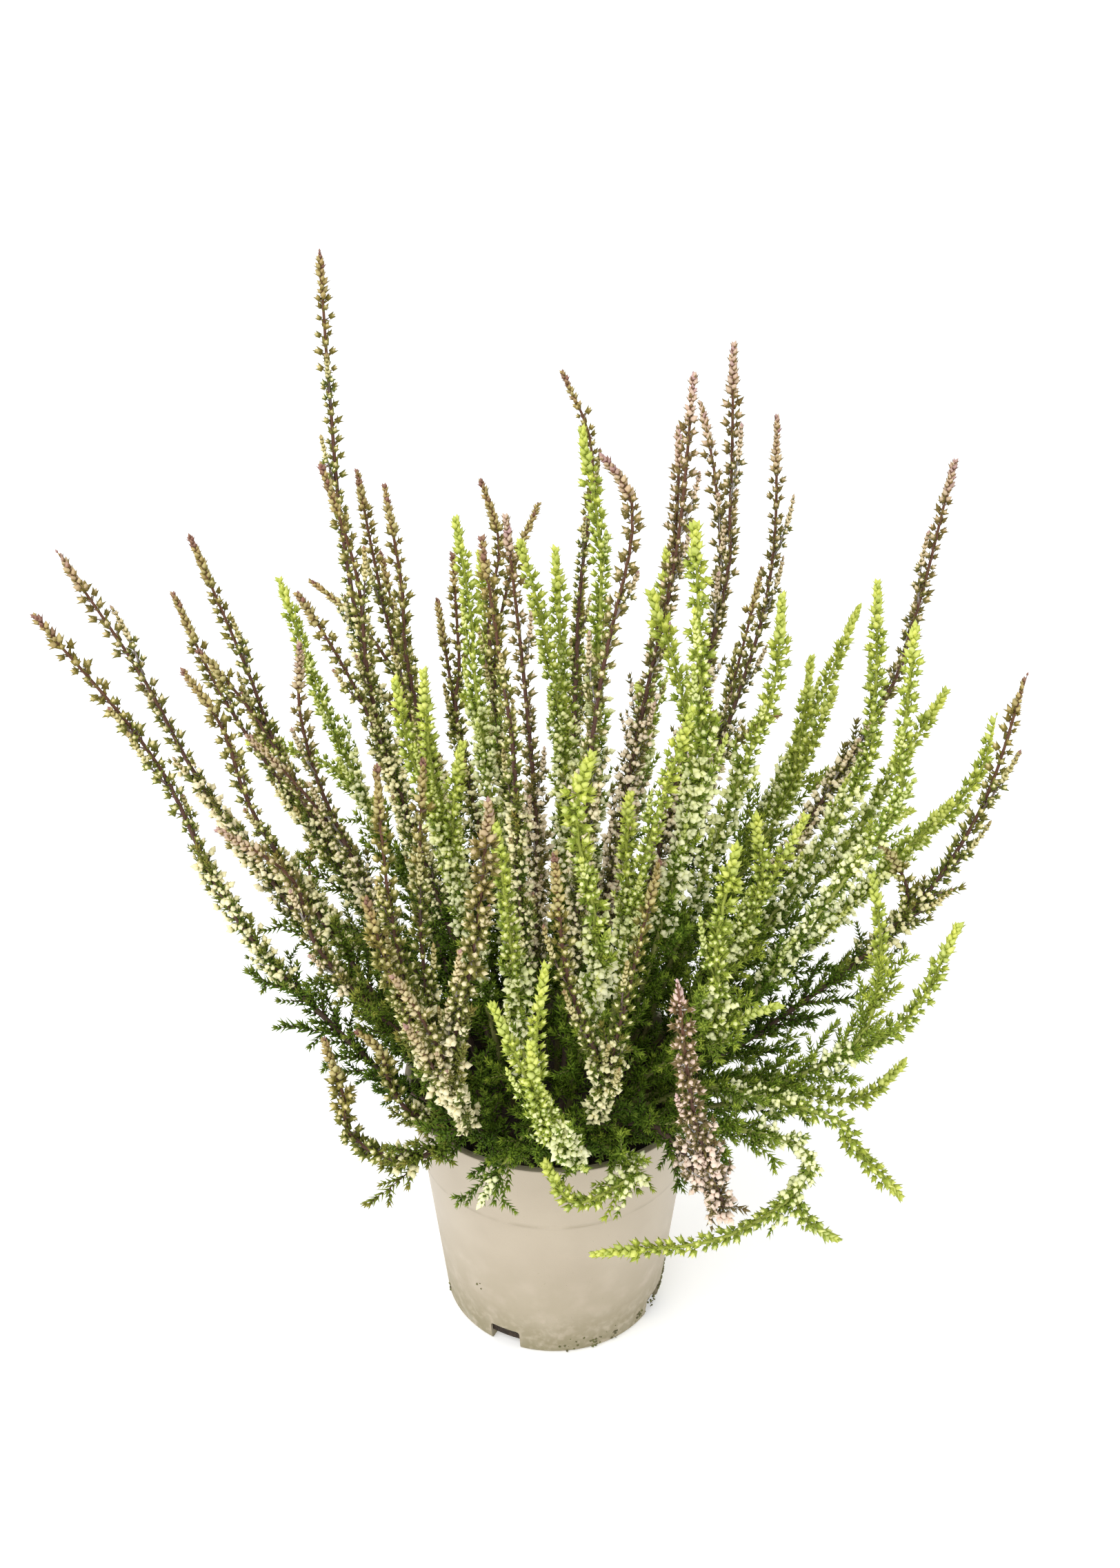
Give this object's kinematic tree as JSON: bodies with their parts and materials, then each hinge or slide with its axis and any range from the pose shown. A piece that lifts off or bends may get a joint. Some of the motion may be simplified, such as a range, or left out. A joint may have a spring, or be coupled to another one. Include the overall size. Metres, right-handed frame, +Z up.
{
  "type": "potted heather",
  "caption": "Heather in a round nursery pot: slender leafy shoots of two colours, set with small buds, fan out of a dark peat ball inside a tapered plastic pot.",
  "frame": {"origin": "middle of the pot's sole, on the surface it stands on", "axes": "+Z up along the pot's axis, -Y towards the side that faces the camera, +X to the right from there"},
  "size_m": [0.3495, 0.2756, 0.419],
  "materials": {
    "pot": "warm grey-brown moulded plastic, slightly glossy, dull and stained near the foot",
    "peat": "dark damp peat, matt and crumbly",
    "bronze_foliage": "red-brown stems, dark green scale leaves low down, olive-brown tips, pink-cream buds",
    "lime_foliage": "yellow-green stems, dark green scale leaves low down, bright yellow-green tips, cream-white buds"
  },
  "bodies": {
    "root": {"pot": "pot", "peat": "peat", "bronze_shoot_01": "bronze_foliage", "bronze_shoot_02": "bronze_foliage", "bronze_shoot_03": "bronze_foliage", "bronze_shoot_04": "bronze_foliage", "bronze_shoot_05": "bronze_foliage", "bronze_shoot_06": "bronze_foliage", "bronze_shoot_07": "bronze_foliage", "bronze_shoot_08": "bronze_foliage", "bronze_shoot_09": "bronze_foliage", "bronze_shoot_10": "bronze_foliage", "bronze_shoot_11": "bronze_foliage", "bronze_shoot_12": "bronze_foliage", "bronze_shoot_13": "bronze_foliage", "bronze_shoot_14": "bronze_foliage", "bronze_shoot_15": "bronze_foliage", "bronze_shoot_16": "bronze_foliage", "bronze_shoot_17": "bronze_foliage", "bronze_shoot_18": "bronze_foliage", "bronze_shoot_19": "bronze_foliage", "bronze_shoot_20": "bronze_foliage", "bronze_shoot_21": "bronze_foliage", "bronze_shoot_22": "bronze_foliage", "bronze_shoot_23": "bronze_foliage", "bronze_shoot_24": "bronze_foliage", "bronze_shoot_25": "bronze_foliage", "bronze_shoot_26": "bronze_foliage", "bronze_shoot_27": "bronze_foliage", "bronze_shoot_28": "bronze_foliage", "bronze_shoot_29": "bronze_foliage", "bronze_shoot_30": "bronze_foliage", "bronze_shoot_31": "bronze_foliage", "bronze_shoot_32": "bronze_foliage", "lime_shoot_01": "lime_foliage", "lime_shoot_02": "lime_foliage", "lime_shoot_03": "lime_foliage", "lime_shoot_04": "lime_foliage", "lime_shoot_05": "lime_foliage", "lime_shoot_06": "lime_foliage", "lime_shoot_07": "lime_foliage", "lime_shoot_08": "lime_foliage", "lime_shoot_09": "lime_foliage", "lime_shoot_10": "lime_foliage", "lime_shoot_11": "lime_foliage", "lime_shoot_12": "lime_foliage", "lime_shoot_13": "lime_foliage", "lime_shoot_14": "lime_foliage", "lime_shoot_15": "lime_foliage", "lime_shoot_16": "lime_foliage", "lime_shoot_17": "lime_foliage", "lime_shoot_18": "lime_foliage", "lime_shoot_19": "lime_foliage", "lime_shoot_20": "lime_foliage", "lime_shoot_21": "lime_foliage", "lime_shoot_22": "lime_foliage", "lime_shoot_23": "lime_foliage", "lime_shoot_24": "lime_foliage", "lime_shoot_25": "lime_foliage", "lime_shoot_26": "lime_foliage"}
  },
  "joints": []
}
